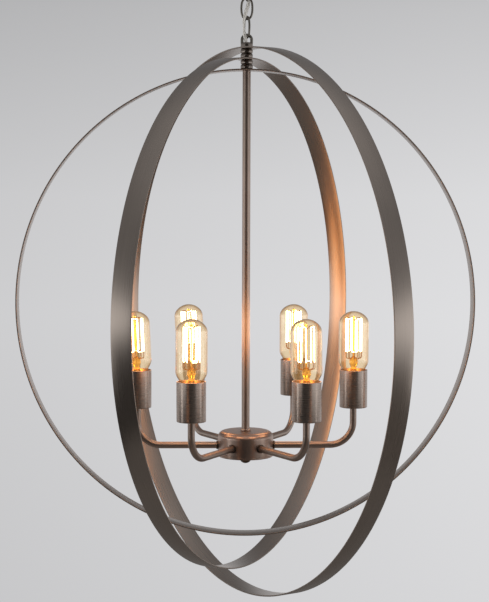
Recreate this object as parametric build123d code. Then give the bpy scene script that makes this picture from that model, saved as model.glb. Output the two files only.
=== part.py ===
from build123d import *
import os
from math import atan2, cos, radians, sin, sqrt, tan

# Orb chandelier: three flat steel hoops hang one inside the other round a six-light cluster.
# Millimetres, +Z up. The origin is midway between the two ceiling screws, in the plane of the
# ceiling. The front view looks along +Y with +X to the right.

# Ceiling plate and canopy
canopy_radius = 63.5
canopy_depth = 25.0
canopy_wall = 1.2
canopy_edge_round = 10.0
crossbar_length = 106.0
crossbar_width = 20.0
crossbar_thickness = 2.0
crossbar_corner = 9.0
ceiling_screw_spacing = 88.9
ceiling_slot_width = 4.6
ceiling_slot_length = 9.0
loop_barrel_radius = 8.0
loop_barrel_length = 19.0
loop_flange_height = 6.0
loop_thread_depth = 9.5
canopy_nut_radius = 14.0
canopy_nut_height = 5.0

# Threaded tube and its nuts, drawn at the crest of the thread
thread_radius = 4.85
thread_bore_radius = 3.15
nut_across_flats = 14.0
nut_height = 3.5
thread_clearance = 0.12
nut_grip = 1.2

# Chain: oval links of round wire
wire_radius = 1.6
link_length = 34.0
link_width = 19.4
link_end_radius = 6.4
link_play = 0.3
link_turns = (90.0, 0.0, -62.0)
eye_radius = 7.0
eye_wire_radius = 2.2
top_eye_leg = 4.0
canopy_eye_leg = 9.4

# Turned stack that carries the hoops
collar_radius = 9.1
collar_height = 7.0
collar_round = 2.2
collar_thread_depth = 4.2
spacer_groove_radius = 7.6
spacer_bead_count = 2
hoop_pitch = 16.0
turning_clearance = 0.08
hoop_play = 0.15

# Hoops: radius at rest in the flat, strip section, and the turn of each about the stem
hoop_radii = (400.0, 373.0, 344.5)
hoop_turns = (-59.4, 64.6, 1.8)
hoop_width = 30.0
hoop_thickness = 2.0
hoop_sag = 0.0139

# Stem, hub and finial
stem_radius = 6.0
stem_wall = 1.0
stem_length = 536.0
stem_collar_radius = 7.8
stem_collar_height = 3.0
thread_in_stem = 12.0
hub_radius = 41.5
hub_height = 35.0
hub_round = 9.0
hub_wall = 2.2
cover_thickness = 2.8
cover_lip = 3.0
cover_round = 1.4
finial_radius = 7.5
finial_height = 11.0
finial_stud_radius = 3.0
finial_stud_length = 10.0
cover_boss_radius = 7.0
cover_boss_height = 6.0

# Arms
arm_count = 6
arm_first_turn = 2.0
arm_reach = 162.0
arm_drop = 21.5
arm_radius = 5.0
arm_wall = 1.2
arm_bend_radius = 35.0
arm_inside_hub = 7.0
arm_ring_radius = 6.4
arm_ring_length = 2.2

# Cups and lampholders
cup_rise = 57.2
cup_radius = 20.8
cup_height = 56.6
cup_wall = 1.4
arm_in_cup = 8.0
holder_radius = 17.0
holder_height = 40.0
holder_floor = 14.0
holder_step_height = 7.0
holder_step_depth = 3.0
holder_well_radius = 14.9
shell_wall = 0.5
shell_height = 24.0
contact_radius = 4.5
contact_height = 1.6
contact_ring = 1.0

# Bulbs
bulb_radius = 22.5
bulb_length = 123.5
bulb_crown = 19.0
bulb_crown_corner = 16.0
bulb_shoulder = 23.0
bulb_neck_radius = 13.4
bulb_neck_height = 1.5
glass_thickness = 1.0
cap_radius = 13.1
cap_wall = 0.5
cap_height = 25.0
cap_point_radius = 4.6
cap_point_height = 2.6
cap_funnel_height = 4.0
cage_radius = 11.0
cage_low = 62.0
cage_high = 110.0
cage_strands = 10
cage_wire = 0.8
support_drop = 4.0
mount_radius = 5.0
mount_rod_radius = 1.4

# Flex from the ceiling, woven down the chain and into the stem
cord_radius = 1.8
cord_in_stem = (-0.6, -0.8)
cord_tail = 14.0
cord_lead = 0.5
bore_mouth = 1.0

# Gaps left between pieces that touch
seat_gap = 0.2
slide_gap = 0.3

# How far a cutter runs on past the faces it opens
past_face = 1.0


def moved(x=0.0, y=0.0, z=0.0):
    return Location((x, y, z))


def turned(shape, angle):
    """Turns a shape about the stem."""
    return Rotation(0, 0, angle) * shape


def tube(outer, inner, low, high):
    ring = Circle(outer) - Circle(inner)
    return extrude(Plane.XY.offset(low) * ring, high - low)


def disc(radius, low, high):
    return extrude(Plane.XY.offset(low) * Circle(radius), high - low)


def flared(radius, z, direction):
    """Cutter that eases the mouth of a bore where the flex comes out."""
    return moved(z=z) * Cone(
        radius + bore_mouth * (direction < 0),
        radius + bore_mouth * (direction > 0),
        bore_mouth,
        align=(Align.CENTER, Align.CENTER, Align.MAX if direction > 0 else Align.MIN),
    )


def lathe(outline):
    """Turns a closed outline, drawn as radius and height, round the vertical axis."""
    return revolve(Plane.XZ * make_face(outline), Axis.Z)


def hex_nut(low, thread):
    blank = RegularPolygon(nut_across_flats / 2, 6, major_radius=False)
    return extrude(Plane.XY.offset(low) * (blank - Circle(thread + thread_clearance)), nut_height)


def save(name, *solids):
    shape = solids[0] if len(solids) == 1 else Compound(children=list(solids))
    export_step(shape, f"parts/{name}.step")


# Heights, from the ceiling down
canopy_low = -canopy_depth
canopy_nut_top = canopy_low - seat_gap
canopy_nut_low = canopy_nut_top - canopy_nut_height
flange_low = canopy_nut_low - seat_gap - loop_flange_height
barrel_top = flange_low + loop_flange_height + loop_barrel_length
ceiling_nipple_top = -crossbar_thickness / 2
ceiling_nipple_low = barrel_top - loop_thread_depth + seat_gap
canopy_eye_z = flange_low - canopy_eye_leg - eye_radius
link_hook = 2 * wire_radius + link_play
eye_hook = wire_radius + eye_wire_radius + link_play
link_pitch = link_length - 2 * wire_radius - link_hook
link_tops = [canopy_eye_z + eye_hook - n * link_pitch for n in range(len(link_turns))]
last_hook_z = link_tops[-1] - link_pitch - link_hook
top_eye_z = last_hook_z + eye_hook
collar_top = top_eye_z - eye_radius - top_eye_leg
collar_low = collar_top - collar_height
thread_top = collar_low + collar_thread_depth - seat_gap
hoop_tops = [collar_low - hoop_play - n * hoop_pitch for n in range(len(hoop_radii))]


def hoop_dip(radius, reach):
    """How far the crown of a hoop falls away over the seat that holds it."""
    return reach**2 / (2 * (radius - hoop_thickness)) * (1 + 3 * hoop_sag)


seat_lows = [
    top - hoop_thickness - hoop_dip(radius, collar_radius) - hoop_play
    for top, radius in zip(hoop_tops, hoop_radii)
]
stem_top = hoop_tops[-1] - hoop_thickness - hoop_dip(hoop_radii[-1], stem_radius) - hoop_play
hub_top = stem_top - stem_length
arm_z = hub_top - arm_drop
hub_low = hub_top - hub_height
hub_nipple_low = hub_top - hub_wall - nut_height - nut_grip
cord_end = hub_top - hub_wall - cord_tail
cover_top = hub_low - seat_gap
cover_low = cover_top - cover_thickness
cup_low = arm_z + cup_rise
arm_top = cup_low + cup_wall + arm_in_cup
holder_low = cup_low + cup_wall + seat_gap + nut_height + seat_gap
bulb_low = holder_low + holder_floor + contact_height + seat_gap

# Where the six arms start, how they are spread, and where their nuts bear on the round wall
arm_start = hub_radius - hub_wall - arm_inside_hub
arm_turns = [arm_first_turn + n * 360 / arm_count for n in range(arm_count)]
nut_corner = nut_across_flats / 2 / cos(radians(30))
nut_seat = sqrt((hub_radius - hub_wall) ** 2 - nut_corner**2) - seat_gap


def bent_eye(base_z, leg, direction):
    """Half-round wire eye on two straight legs; direction 1 stands up, -1 hangs down."""
    arch_z = base_z + direction * leg
    foot_z = base_z - direction * eye_wire_radius
    rise = Line((-eye_radius, 0, foot_z), (-eye_radius, 0, arch_z))
    crown = (0, 0, arch_z + direction * eye_radius)
    arch = ThreePointArc((-eye_radius, 0, arch_z), crown, (eye_radius, 0, arch_z))
    fall = Line((eye_radius, 0, arch_z), (eye_radius, 0, foot_z))
    section = Plane(origin=(-eye_radius, 0, foot_z), z_dir=(0, 0, direction)) * Circle(eye_wire_radius)
    return sweep(section, path=rise + arch + fall)


def chain_link(top_z, turn):
    """One oval link on its own centre line: two small end arcs and two large side arcs."""
    half_length = link_length / 2 - wire_radius
    half_width = link_width / 2 - wire_radius
    end_centre = half_length - link_end_radius
    slack = half_width**2 + end_centre**2 - link_end_radius**2
    side_radius = slack / (2 * (half_width - link_end_radius))
    side_centre = side_radius - half_width
    lean = atan2(end_centre, side_centre)
    join_x = side_radius * cos(lean) - side_centre
    join_z = side_radius * sin(lean)
    middle = top_z - link_length / 2 + wire_radius
    right = ThreePointArc((join_x, 0, -join_z), (half_width, 0, 0), (join_x, 0, join_z))
    over = ThreePointArc((join_x, 0, join_z), (0, 0, half_length), (-join_x, 0, join_z))
    left = ThreePointArc((-join_x, 0, join_z), (-half_width, 0, 0), (-join_x, 0, -join_z))
    under = ThreePointArc((-join_x, 0, -join_z), (0, 0, -half_length), (join_x, 0, -join_z))
    section = Plane(origin=(join_x, 0, -join_z), z_dir=right % 0) * Circle(wire_radius)
    wire = sweep(section, path=Wire([right, over, left, under]))
    return turned(moved(z=middle) * wire, turn)


def canopy():
    """Spun bell: a flat-bottomed dish whose mouth lies on the ceiling."""
    deep = canopy_depth
    bend = canopy_edge_round

    def dish(radius, low, high, corner):
        shape = Polyline((0, low), (radius, low), (radius, high), (0, high), close=True)
        face = make_face(shape)
        edge = [v for v in face.vertices() if v.X > radius / 2 and v.Y < (low + high) / 2]
        return revolve(Plane.XZ * fillet(edge, corner), Axis.Z)

    outer = dish(canopy_radius, -deep, 0, bend)
    inner = dish(canopy_radius - canopy_wall, -deep + canopy_wall, past_face, bend - canopy_wall)
    hole = disc(loop_barrel_radius + slide_gap, -deep - past_face, 0)
    return outer - inner - hole


def crossbar():
    blank = RectangleRounded(crossbar_length, crossbar_width, crossbar_corner)
    slots = GridLocations(ceiling_screw_spacing, 0, 2, 1) * SlotOverall(
        ceiling_slot_length, ceiling_slot_width
    )
    plate = blank - slots - Circle(thread_radius + thread_clearance)
    return extrude(Plane.XY.offset(-crossbar_thickness) * plate, crossbar_thickness)


def canopy_loop():
    """Barrel up through the canopy, a flange below it and the eye that takes the first link."""
    body = disc(loop_barrel_radius, flange_low, barrel_top)
    body = fillet(body.edges().sort_by(Axis.Z)[0], collar_round)
    body += bent_eye(flange_low, canopy_eye_leg, -1)
    body -= disc(thread_bore_radius, flange_low - eye_wire_radius, barrel_top)
    body -= flared(thread_bore_radius, flange_low, -1)
    thread = thread_radius + thread_clearance
    return body - disc(thread, barrel_top - loop_thread_depth, barrel_top + past_face)


def canopy_nut():
    """Ring nut on the barrel that holds the canopy up."""
    bore = loop_barrel_radius + thread_clearance
    ring = tube(canopy_nut_radius, bore, canopy_nut_low, canopy_nut_top)
    rim = ring.edges().group_by(Axis.Z)[0].sort_by(SortBy.LENGTH)[-1]
    return chamfer(rim, canopy_nut_height / 2)


def top_loop():
    """Eye that hangs in the last link, on a turned collar threaded from below."""
    body = disc(collar_radius, collar_low, collar_top)
    body = fillet(body.edges().sort_by(Axis.Z)[-1], collar_round)
    body += bent_eye(collar_top, top_eye_leg, 1)
    body -= disc(thread_bore_radius, collar_low - past_face, collar_top + eye_wire_radius)
    body -= flared(thread_bore_radius, collar_top, 1)
    thread = thread_radius + thread_clearance
    return body - disc(thread, collar_low - past_face, collar_low + collar_thread_depth)


def beaded_spacer(low, high):
    """Turned spacer with round beads; its bore passes the threaded tube."""
    bead = (high - low) / spacer_bead_count
    bore = thread_radius + turning_clearance
    groove = spacer_groove_radius
    path = Line((bore, high), (bore, low)) + Line((bore, low), (groove, low))
    for n in range(spacer_bead_count):
        foot = low + n * bead
        path += ThreePointArc((groove, foot), (collar_radius, foot + bead / 2), (groove, foot + bead))
    return lathe(path + Line((groove, high), (bore, high)))


def hoop(radius, top, turn):
    """Strip bent to a ring and hung by its crown: its own weight draws it slightly tall."""
    stretch = hoop_sag * (radius / hoop_radii[0]) ** 3
    wide = radius * (1 - stretch)
    tall = radius * (1 + stretch)
    outline = Ellipse(wide, tall) - Ellipse(wide - hoop_thickness, tall - hoop_thickness)
    strip = extrude(Plane.XZ * outline, hoop_width / 2, both=True)
    strip = moved(z=top - tall) * strip
    strip -= disc(thread_radius + turning_clearance, top - 2 * hoop_thickness, top + past_face)
    return turned(strip, turn)


def hub():
    """Drawn steel cup, open below, with six side holes and one on top."""
    shell = disc(hub_radius, hub_low, hub_top)
    shell = fillet(shell.edges().sort_by(Axis.Z)[-1], hub_round)
    core = disc(hub_radius - hub_wall, hub_low - past_face, hub_top - hub_wall)
    core = fillet(core.edges().sort_by(Axis.Z)[-1], hub_round - hub_wall)
    shell -= core
    shell -= disc(thread_radius + thread_clearance, hub_top - 2 * hub_wall, hub_top + past_face)
    hole = Plane.YZ * Circle(arm_radius + thread_clearance)
    for turn in arm_turns:
        shell -= turned(moved(z=arm_z) * extrude(hole, hub_radius + past_face), turn)
    return shell


def hub_cover():
    plate = disc(hub_radius, cover_low, cover_top)
    plate = fillet(plate.edges().sort_by(Axis.Z)[0], cover_round)
    lip_radius = hub_radius - hub_wall - thread_clearance
    plate += tube(lip_radius, lip_radius - hub_wall, cover_top, cover_top + cover_lip)
    plate += disc(cover_boss_radius, cover_top, cover_top + cover_boss_height)
    hole = finial_stud_radius + thread_clearance
    return plate - disc(hole, cover_low - past_face, cover_top + cover_boss_height + past_face)


def finial():
    """Small round knob on a stud through the cover."""
    top = cover_low - seat_gap
    straight = finial_height - finial_radius
    side = (finial_radius, top - straight)
    middle = finial_radius * cos(radians(45))
    outline = Line((0, top), (finial_radius, top)) + Line((finial_radius, top), side)
    outline += ThreePointArc(side, (middle, top - straight - middle), (0, top - finial_height))
    outline += Line((0, top - finial_height), (0, top))
    return lathe(outline) + disc(finial_stud_radius, top - past_face, top + finial_stud_length)


def arm():
    """Tube out of the hub, a quarter bend and a short rise into the cup."""
    bend_x = arm_reach - arm_bend_radius
    bend_z = arm_z + arm_bend_radius
    mid = arm_bend_radius * cos(radians(45))
    out = Line((arm_start, 0, arm_z), (bend_x, 0, arm_z))
    bend = ThreePointArc((bend_x, 0, arm_z), (bend_x + mid, 0, bend_z - mid), (arm_reach, 0, bend_z))
    rise = Line((arm_reach, 0, bend_z), (arm_reach, 0, arm_top))
    section = Plane(origin=(arm_start, 0, arm_z), z_dir=(1, 0, 0)) * (
        Circle(arm_radius) - Circle(arm_radius - arm_wall)
    )
    return sweep(section, path=out + bend + rise)


def on_arm_axis(shape):
    """Lays a piece made upright along the arm, its foot at the stem axis."""
    return moved(z=arm_z) * Rotation(0, 90, 0) * shape


def arm_ring():
    start = hub_radius + seat_gap
    bore = arm_radius + thread_clearance
    return on_arm_axis(tube(arm_ring_radius, bore, start, start + arm_ring_length))


def cup():
    """Straight-sided metal cup, open at the top, drilled in the floor for the arm."""
    body = disc(cup_radius, 0, cup_height)
    body -= disc(cup_radius - cup_wall, cup_wall, cup_height + past_face)
    return body - disc(arm_radius + thread_clearance, -past_face, cup_wall + past_face)


def holder():
    """Moulded lampholder body, stepped at the foot, with a well for the screw shell."""
    body = disc(holder_radius - holder_step_depth, 0, holder_step_height)
    body += disc(holder_radius, holder_step_height, holder_height)
    body -= disc(holder_well_radius, holder_floor, holder_height + past_face)
    return body - disc(arm_radius + thread_clearance, -past_face, arm_top - holder_low + seat_gap)


def screw_shell():
    outer = holder_well_radius - thread_clearance
    floor = holder_floor + seat_gap
    shell = disc(outer, floor, floor + shell_height)
    shell -= disc(outer - shell_wall, floor + shell_wall, floor + shell_height + past_face)
    return shell - disc(contact_radius + contact_ring, floor - past_face, floor + shell_wall + past_face)


def centre_contact():
    return disc(contact_radius, holder_floor + seat_gap / 2, holder_floor + contact_height)


def bulb_outline(inset):
    """Half outline of the glass: neck, S-shaped shoulder, straight side and a flattened crown."""
    neck = bulb_neck_radius - inset
    side = bulb_radius - inset
    foot = cap_height + seat_gap
    neck_top = cap_height + bulb_neck_height
    middle = ((neck + side) / 2, neck_top + bulb_shoulder / 2)
    side_low = neck_top + bulb_shoulder
    side_high = bulb_length - bulb_crown
    crown = bulb_crown - inset
    corner = bulb_crown_corner - inset
    drop = ((side - corner) ** 2 - (crown - corner) ** 2) / (2 * (crown - corner))
    crown_radius = crown + drop
    lean = atan2(side - corner, drop)
    join = (crown_radius * sin(lean), side_high - drop + crown_radius * cos(lean))
    flare = TangentArc((neck, neck_top), middle, tangent=(0, 1))
    outline = Line((0, foot), (neck, foot)) + Line((neck, foot), (neck, neck_top)) + flare
    outline += TangentArc(middle, (side, side_low), tangent=flare % 1)
    outline += Line((side, side_low), (side, side_high))
    outline += TangentArc((side, side_high), join, tangent=(0, 1))
    outline += ThreePointArc(
        join,
        (crown_radius * sin(lean / 2), side_high - drop + crown_radius * cos(lean / 2)),
        (0, side_high + crown),
    )
    return outline + Line((0, side_high + crown), (0, foot))


def bulb_glass():
    return lathe(bulb_outline(0)) - lathe(bulb_outline(glass_thickness))


def bulb_cap():
    """Screw cap at the crest of its thread, with the insulating funnel and the point below."""
    funnel = Polyline(
        (0, 0),
        (cap_point_radius, 0),
        (cap_point_radius, cap_point_height),
        (cap_radius, cap_funnel_height),
        (cap_radius, cap_height),
        (0, cap_height),
        close=True,
    )
    well = disc(cap_radius - cap_wall, cap_funnel_height + cap_wall, cap_height + past_face)
    return lathe(funnel) - well


def mount_stem():
    """Glass foot in the neck, its stem and the rod that carries the wire supports."""
    foot = cap_height + bulb_neck_height
    stem_high = cage_low - support_drop
    outline = Polyline(
        (0, foot),
        (bulb_neck_radius - glass_thickness - seat_gap, foot),
        (mount_radius, foot + bulb_shoulder / 2),
        (mount_radius, stem_high),
        (mount_rod_radius, stem_high),
        (mount_rod_radius, cage_high + support_drop),
        (0, cage_high + support_drop),
        close=True,
    )
    return lathe(outline)


def filament_cage():
    """Upright strands zigzag round the rod, on hooks that reach out from it at both ends."""
    wire = cage_wire
    step = 360 / cage_strands
    chord = 2 * cage_radius * sin(radians(step / 2))
    strand = Box(wire, wire, cage_high - cage_low + wire)
    strand = moved(x=cage_radius, z=(cage_low + cage_high) / 2) * strand
    link = moved(x=cage_radius * cos(radians(step / 2))) * Box(wire, chord, wire)
    hook_start = mount_rod_radius + seat_gap
    hook = moved(x=(hook_start + cage_radius) / 2) * Box(cage_radius - hook_start, wire, wire)
    cage = strand
    for n in range(1, cage_strands):
        cage += turned(strand, n * step)
    for n in range(cage_strands - 1):
        level = cage_high if n % 2 == 0 else cage_low
        cage += turned(moved(z=level) * link, (n + 0.5) * step)
        cage += turned(moved(z=level) * hook, n * step)
    return cage


def at_arm(shape, number, z):
    return turned(moved(x=arm_reach, z=z) * shape, arm_turns[number])


def cord_run(points):
    """A limp round cord: straight runs joined by arcs as wide as each corner allows."""
    places = [Vector(*p) for p in points]
    radii = []
    for a, b, c in zip(places, places[1:], places[2:]):
        half_turn = radians((b - a).get_angle(c - b)) / 2
        radii.append(0.45 * min((b - a).length, (c - b).length) / tan(half_turn))
    path = FilletPolyline(*places, radius=radii)
    start = Plane(origin=path @ 0, z_dir=path % 0)
    tube_solid = sweep(start * Circle(cord_radius), path=path)
    ratio = tube_solid.volume / (path.length * Circle(cord_radius).area)
    print("cord radii", [round(r, 1) for r in radii], "volume to section times length", round(ratio, 4))
    return tube_solid


# The flex's corners from the ceiling to the top loop, beside the first link, through the second
# and beside the third. It is cut midway along three runs, where one link hands it to the next.
cord_corners = [
    (0, 0, ceiling_nipple_top),
    (0, 0, flange_low - cord_lead),
    (4.6, 5.2, flange_low - 10.5),
    (4.0, 4.6, link_tops[1] - 3),
    (-3.6, -4.4, link_tops[2] - 1),
    (-5.0, -4.0, link_tops[2] - 10),
    (-3.2, -4.4, top_eye_z - 2),
    (*cord_in_stem, collar_top + cord_lead),
    (*cord_in_stem, collar_low),
]
cord_cuts = (2, 3, 5)


def cord_stretches():
    """The woven flex in lengths that meet face to face, one for each joint of the chain."""
    stretch = [cord_corners[0]]
    stretches = []
    for n, corner in enumerate(cord_corners[1:], 1):
        stretch.append(corner)
        if n in cord_cuts:
            after = cord_corners[n + 1]
            cut = tuple((a + b) / 2 for a, b in zip(corner, after))
            stretches.append([*stretch, cut])
            stretch = [cut]
    return [cord_run(points) for points in [*stretches, stretch]]


os.makedirs("parts", exist_ok=True)
save("canopy", canopy())
save("crossbar", crossbar())
nipple_wall = (thread_radius, thread_bore_radius)
save("ceiling_nipple", tube(*nipple_wall, ceiling_nipple_low, ceiling_nipple_top))
save("crossbar_nut", hex_nut(-crossbar_thickness - seat_gap - nut_height, thread_radius))
save("canopy_loop", canopy_loop())
save("canopy_nut", canopy_nut())
for n, (top, turn) in enumerate(zip(link_tops, link_turns), 1):
    save(f"chain_link_{n}", chain_link(top, turn))
for n, stretch in enumerate(cord_stretches(), 1):
    save(f"cord_{n}", stretch)
inside = disc(cord_radius, cord_end, collar_low)
save("cord_in_stem", moved(x=cord_in_stem[0], y=cord_in_stem[1]) * inside)
save("top_loop", top_loop())
save("top_nipple", tube(*nipple_wall, stem_top - thread_in_stem, thread_top))
spacers = [
    beaded_spacer(hoop_tops[n + 1] + hoop_play, seat_lows[n]) for n in range(len(hoop_radii) - 1)
]
save("hoop_spacers", *spacers)
for name, radius, top, turn in zip(("outer", "middle", "inner"), hoop_radii, hoop_tops, hoop_turns):
    save(f"hoop_{name}", hoop(radius, top, turn))
save("stem", tube(stem_radius, stem_radius - stem_wall, hub_top + seat_gap, stem_top))
stem_low = hub_top + seat_gap
around_stem = stem_radius + thread_clearance
save("stem_collar", tube(stem_collar_radius, around_stem, stem_low, stem_low + stem_collar_height))
save("hub_nipple", tube(*nipple_wall, hub_nipple_low, hub_top + thread_in_stem))
save("hub", hub())
save("hub_cover", hub_cover())
save("finial", finial())
nuts = [hex_nut(hub_top - hub_wall - seat_gap - nut_height, thread_radius)]
for n in range(arm_count):
    nuts.append(turned(on_arm_axis(hex_nut(nut_seat - nut_height, arm_radius)), arm_turns[n]))
    nuts.append(at_arm(hex_nut(cup_wall + seat_gap, arm_radius), n, cup_low))
save("arm_nuts", *nuts)
save("arm_rings", *[turned(arm_ring(), turn) for turn in arm_turns])
save("lampholders", *[at_arm(holder(), n, holder_low) for n in range(arm_count)])
contacts = []
for n in range(arm_count):
    contacts.append(at_arm(screw_shell(), n, holder_low))
    contacts.append(at_arm(centre_contact(), n, holder_low))
save("holder_contacts", *contacts)
for n in range(arm_count):
    save(f"arm_{n + 1}", turned(arm(), arm_turns[n]))
    save(f"cup_{n + 1}", at_arm(cup(), n, cup_low))
    save(f"bulb_{n + 1}_glass", at_arm(bulb_glass(), n, bulb_low))
    save(f"bulb_{n + 1}_cap", at_arm(bulb_cap(), n, bulb_low))
    lights = [at_arm(mount_stem(), n, bulb_low), at_arm(filament_cage(), n, bulb_low)]
    save(f"bulb_{n + 1}_filament", *lights)
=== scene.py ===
from math import atan2, cos, pi, radians, sin, tan

import bpy
import bmesh
from mathutils import Matrix, Vector


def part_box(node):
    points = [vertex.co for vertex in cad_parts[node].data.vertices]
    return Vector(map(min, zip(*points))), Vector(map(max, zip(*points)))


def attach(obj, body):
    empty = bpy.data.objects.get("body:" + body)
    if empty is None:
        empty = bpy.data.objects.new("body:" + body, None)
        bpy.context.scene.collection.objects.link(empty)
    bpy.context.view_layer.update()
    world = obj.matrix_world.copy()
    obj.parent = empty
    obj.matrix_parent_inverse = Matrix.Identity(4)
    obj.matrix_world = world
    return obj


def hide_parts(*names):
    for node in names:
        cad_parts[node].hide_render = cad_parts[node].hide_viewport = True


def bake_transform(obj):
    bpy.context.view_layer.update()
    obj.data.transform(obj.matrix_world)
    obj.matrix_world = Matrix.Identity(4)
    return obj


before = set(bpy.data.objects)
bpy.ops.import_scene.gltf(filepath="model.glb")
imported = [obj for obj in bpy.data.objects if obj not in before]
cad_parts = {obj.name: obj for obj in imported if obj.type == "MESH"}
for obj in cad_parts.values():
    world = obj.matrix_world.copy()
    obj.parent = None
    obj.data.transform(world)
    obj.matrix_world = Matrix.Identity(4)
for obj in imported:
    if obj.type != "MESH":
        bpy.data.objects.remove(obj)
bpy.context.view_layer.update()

scene = bpy.context.scene
mm = 0.001  # shapes are written in millimetres, Blender works in metres


# The camera stands level with the upper part of the orb, as the photograph was taken
viewpoint = {
    "place": (2.97, -2165.03, -367.61), "down": 4.106, "aside": 0.137, "roll": 0.178, "lens": 86.914}
cameraData = bpy.data.cameras.new("orbCamera")
cameraData.lens = viewpoint["lens"]
cameraData.sensor_width = 36
cameraData.clip_end = 60
camera = bpy.data.objects.new("orbCamera", cameraData)
camera.location = Vector(viewpoint["place"]) * mm
aim = Matrix.Rotation(radians(viewpoint["aside"]), 3, "Z")
aim = aim @ Matrix.Rotation(radians(90 - viewpoint["down"]), 3, "X")
aim = aim @ Matrix.Rotation(radians(viewpoint["roll"]), 3, "Z")
camera.rotation_euler = aim.to_euler()
scene.collection.objects.link(camera)
scene.camera = camera
scene.view_settings.view_transform = "Standard"
print("camera stands")


# Helpers for nodes and colours

def linearColour(code):
    parts = [int(code[i:i + 2], 16) / 255 for i in (1, 3, 5)]
    return (*[c / 12.92 if c <= 0.04045 else ((c + 0.055) / 1.055) ** 2.4 for c in parts], 1.0)


def addNode(tree, kind, inputs=None, **settings):
    node = tree.nodes.new(kind)
    for name, value in settings.items():
        setattr(node, name, value)
    for socket, value in (inputs or {}).items():
        if isinstance(value, bpy.types.NodeSocket):
            tree.links.new(value, node.inputs[socket])
        else:
            node.inputs[socket].default_value = value
    return node


def solve(tree, operation, *values, clamped=False):  # one step of arithmetic
    node = addNode(tree, "ShaderNodeMath", dict(enumerate(values)), operation=operation, use_clamp=clamped)
    return node.outputs[0]


def emptyMaterial(name):
    material = bpy.data.materials.new(name)
    material.use_nodes = True
    material.node_tree.nodes.clear()
    return material


# Materials

def objectNoise(tree, size, detail):  # unevenness of this size in mm, fixed to the object
    spot = addNode(tree, "ShaderNodeTexCoord")
    return addNode(tree, "ShaderNodeTexNoise", {
        "Vector": spot.outputs["Object"], "Scale": 1 / (size * mm), "Detail": detail}).outputs["Fac"]


def toneBetween(tree, share, tones, ends=("dark", "light")):
    first, last = (linearColour(tones[end]) for end in ends)
    return addNode(tree, "ShaderNodeMix", {0: share, 6: first, 7: last}, data_type="RGBA").outputs[2]


def roughFrom(tree, share, rough):
    low, high = rough
    return addNode(tree, "ShaderNodeMapRange", {
        "Value": share, "From Min": 0.3, "From Max": 0.7, "To Min": low, "To Max": high}).outputs["Result"]


def closeMaterial(material, inputs):
    tree = material.node_tree
    surface = addNode(tree, "ShaderNodeBsdfPrincipled", inputs)
    addNode(tree, "ShaderNodeOutputMaterial", {"Surface": surface.outputs[0]})
    return material


def brushedNickel(name, finish):
    # Satin nickel plate, brushed with a fine belt: soft grey-brown mirror with hairlines along the grain
    material = emptyMaterial(name)
    tree = material.node_tree
    place = addNode(tree, "ShaderNodeAttribute", attribute_name="grainPlace")
    fine, long = 1 / (finish["streakWidth"] * mm), 1 / (finish["streakLength"] * mm)
    spread = (fine, fine, long) if finish["lengthwise"] else (long, long, fine)
    along = addNode(tree, "ShaderNodeVectorMath", {
        0: place.outputs["Vector"], 1: spread}, operation="MULTIPLY")
    streaks = addNode(tree, "ShaderNodeTexNoise", {"Vector": along.outputs[0], "Scale": 1.0, "Detail": 3.0})
    clouds = objectNoise(tree, finish["cloudSize"], 2.0)
    tone = solve(tree, "ADD", streaks.outputs["Fac"], clouds)
    shade = addNode(tree, "ShaderNodeMapRange", {"Value": tone, "From Min": 0.6, "From Max": 1.4})
    rough = roughFrom(tree, streaks.outputs["Fac"], finish["rough"])
    section = addNode(tree, "ShaderNodeSeparateXYZ", {0: place.outputs["Vector"]})
    outward = solve(tree, "ABSOLUTE", section.outputs["Y"])
    # Sheared edges were only deburred, so they stay duller than the faces
    edge = addNode(tree, "ShaderNodeMapRange", {
        "Value": outward, "From Min": (finish["faceEnd"] - 0.4) * mm,
        "From Max": finish["faceEnd"] * mm, "To Max": finish["edgeDulling"]})
    dulled = solve(tree, "ADD", rough, edge.outputs["Result"])
    bump = addNode(tree, "ShaderNodeBump", {
        "Height": streaks.outputs["Fac"], "Strength": finish["relief"], "Distance": 0.01 * mm})
    return closeMaterial(material, {
        "Base Color": toneBetween(tree, shade.outputs["Result"], finish), "Metallic": 1.0,
        "Roughness": dulled, "Normal": bump.outputs["Normal"]})


def plainMetal(name, finish):
    # Small metal parts: plated or drawn, with the slight mottling of a barrel-plated surface
    material = emptyMaterial(name)
    tree = material.node_tree
    mottle = objectNoise(tree, finish["mottleSize"], 4.0)
    bump = addNode(tree, "ShaderNodeBump", {
        "Height": mottle, "Strength": finish["relief"], "Distance": 0.1 * mm})
    return closeMaterial(material, {
        "Base Color": toneBetween(tree, mottle, finish), "Metallic": finish.get("metallic", 1.0),
        "Roughness": roughFrom(tree, mottle, finish["rough"]), "Normal": bump.outputs["Normal"]})


stripFinish = {
    "lengthwise": True, "streakWidth": 1.1, "streakLength": 160, "cloudSize": 90, "light": "#A59A91",
    "dark": "#988E86",
    "rough": (0.27, 0.3), "relief": 0.02, "faceEnd": 14.9, "edgeDulling": 0.28}
turnedFinish = {
    "lengthwise": False, "streakWidth": 0.6, "streakLength": 60, "cloudSize": 40, "light": "#AEA096",
    "dark": "#A09288",
    "rough": (0.26, 0.32), "relief": 0.08, "faceEnd": 1000, "edgeDulling": 0.0}
satinStrip = brushedNickel("satinNickelStrip", stripFinish)
satinTurned = brushedNickel("satinNickelTurned", turnedFinish)
smokedTurned = brushedNickel("smokedNickelTurned", {
    **turnedFinish, "light": "#928982", "dark": "#827972", "rough": (0.14, 0.2)})
satinTube = brushedNickel("satinNickelTube", {
    **turnedFinish, "lengthwise": True, "light": "#AC9C91", "dark": "#9F8F84", "rough": (0.32, 0.38)})
# Hub and cover: the same satin nickel made warmer and browner, a painted warm light from the bulbs
satinHub = brushedNickel("satinNickelHubPaintedWarmLight", {
    **turnedFinish, "light": "#AE998D", "dark": "#A08B7F", "rough": (0.29, 0.35)})
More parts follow.
